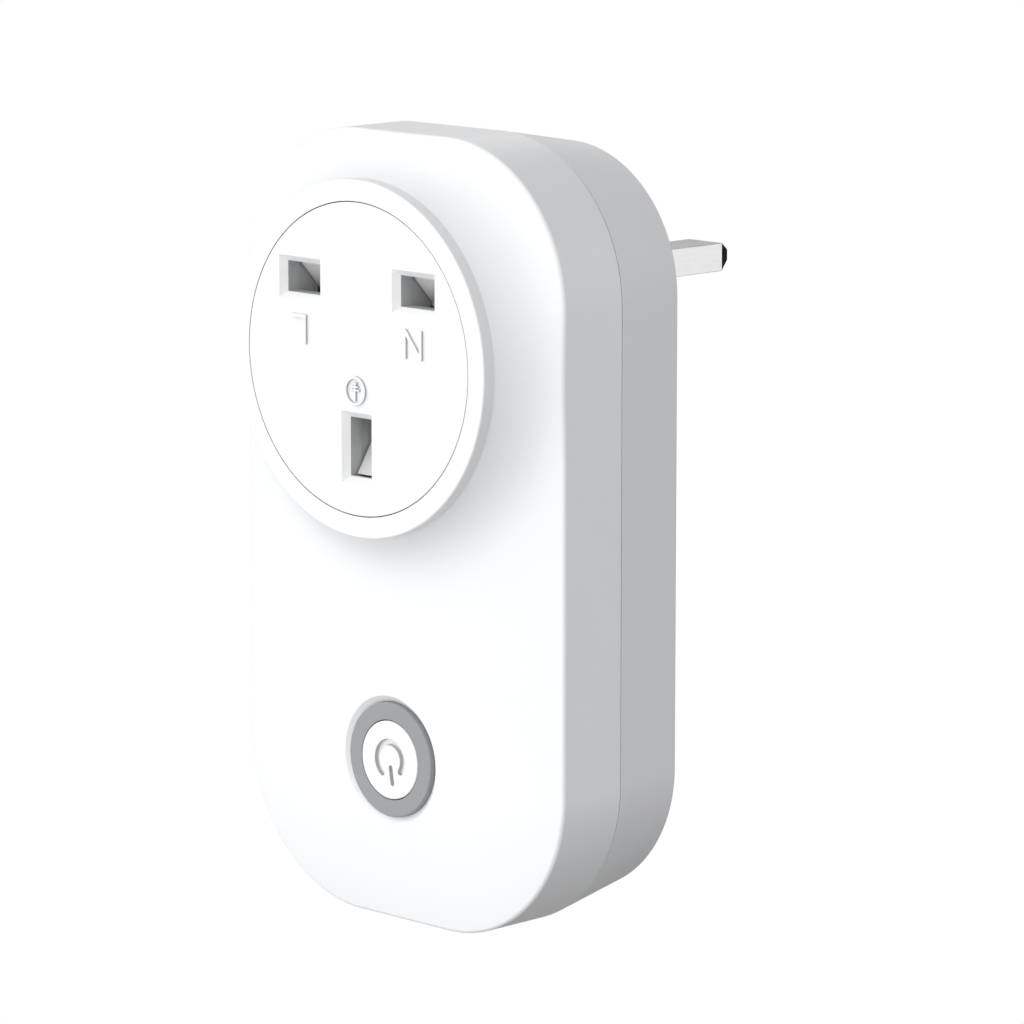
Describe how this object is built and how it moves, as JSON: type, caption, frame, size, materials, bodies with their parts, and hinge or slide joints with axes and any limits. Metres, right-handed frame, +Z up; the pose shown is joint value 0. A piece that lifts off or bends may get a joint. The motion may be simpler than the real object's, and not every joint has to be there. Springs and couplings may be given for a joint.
{
  "type": "smart plug",
  "caption": "Pass-through smart plug for a three-pin wall socket: white rounded body, round socket insert with shuttered slots, power button in a grey light ring, pins behind.",
  "frame": {"origin": "middle of the raised round base's wall face, straight behind the middle of the socket", "axes": "+X to the right as the socket is faced, +Y from the socket back towards the wall, +Z up with the live and neutral slots above the earth slot, along the body's length"},
  "size_m": [0.0622, 0.0618, 0.1099],
  "materials": {
    "case_white": "white moulded plastic, satin gloss",
    "insert_white": "white moulded plastic, satin",
    "ring_grey": "grey diffusing plastic, satin",
    "inner_grey": "light grey moulded plastic",
    "dark_plastic": "black moulded plastic",
    "pin_nickel": "nickel-plated brass",
    "contact_brass": "spring brass",
    "copper": "bare copper",
    "steel": "zinc-plated steel",
    "board_green": "solder-masked circuit board",
    "relay_blue": "blue moulded plastic",
    "capacitor_yellow": "yellow moulded plastic",
    "ceramic_blue": "blue lacquered ceramic",
    "light_clear": "pale resin over a light-emitting diode"
  },
  "bodies": {
    "root": {"front_cover": "case_white", "rear_cover": "case_white", "socket_face": "insert_white", "light_ring": "ring_grey", "socket_base": "inner_grey", "pin_carrier": "inner_grey", "fusible_resistor": "inner_grey", "live_pin_sleeve": "dark_plastic", "neutral_pin_sleeve": "dark_plastic", "relay_base": "dark_plastic", "bulk_capacitor_1": "dark_plastic", "bulk_capacitor_2": "dark_plastic", "bridge_rectifier": "dark_plastic", "power_chip": "dark_plastic", "transformer_core": "dark_plastic", "switch_body": "dark_plastic", "board_header": "dark_plastic", "live_pin": "pin_nickel", "neutral_pin": "pin_nickel", "earth_pin": "pin_nickel", "live_contact": "contact_brass", "neutral_contact": "contact_brass", "earth_contact": "contact_brass", "relay_contact": "contact_brass", "live_input_strap": "copper", "live_output_strap": "copper", "neutral_strap": "copper", "earth_strap": "copper", "relay_coil": "copper", "case_screw_1": "steel", "case_screw_2": "steel", "case_screw_3": "steel", "case_screw_4": "steel", "base_screw_1": "steel", "base_screw_2": "steel", "board_screw_1": "steel", "board_screw_2": "steel", "button_screw_1": "steel", "button_screw_2": "steel", "shutter_spring": "steel", "relay_yoke": "steel", "radio_shield": "steel", "main_board": "board_green", "button_board": "board_green", "radio_board": "board_green", "relay_case": "relay_blue", "x_capacitor": "capacitor_yellow", "transformer_winding": "capacitor_yellow", "varistor": "ceramic_blue", "choke": "ceramic_blue", "light_left": "light_clear", "light_right": "light_clear"},
    "button": {"power_button": "case_white"},
    "plunger": {"switch_plunger": "inner_grey"},
    "shutter": {"shutter": "inner_grey"},
    "armature": {"relay_armature": "steel"}
  },
  "joints": [
    {"name": "button_press", "type": "slide", "parent": "root", "child": "button", "axis": [0, 1, 0], "range_m": [0, 0.0004], "stiffness_N_per_m": 2000, "springref_m": -0.0004},
    {"name": "plunger_press", "type": "slide", "parent": "root", "child": "plunger", "axis": [0, 1, 0], "range_m": [0, 0.0004]},
    {"name": "shutter_slide", "type": "slide", "parent": "root", "child": "shutter", "axis": [0, 0, -1], "range_m": [0, 0.005], "stiffness_N_per_m": 150, "springref_m": -0.004, "deforming": ["shutter_spring"]},
    {"name": "armature_pull", "type": "hinge", "parent": "root", "child": "armature", "pos_m": [-0.0056, -0.0193, -0.031], "axis": [0, 0, -1], "range_deg": [0, 3], "stiffness_Nm_per_rad": 0.02, "springref_deg": -5.73}
  ],
  "couplings": [
    {"joint": "plunger_press", "follows": "button_press", "ratio": 1}
  ]
}
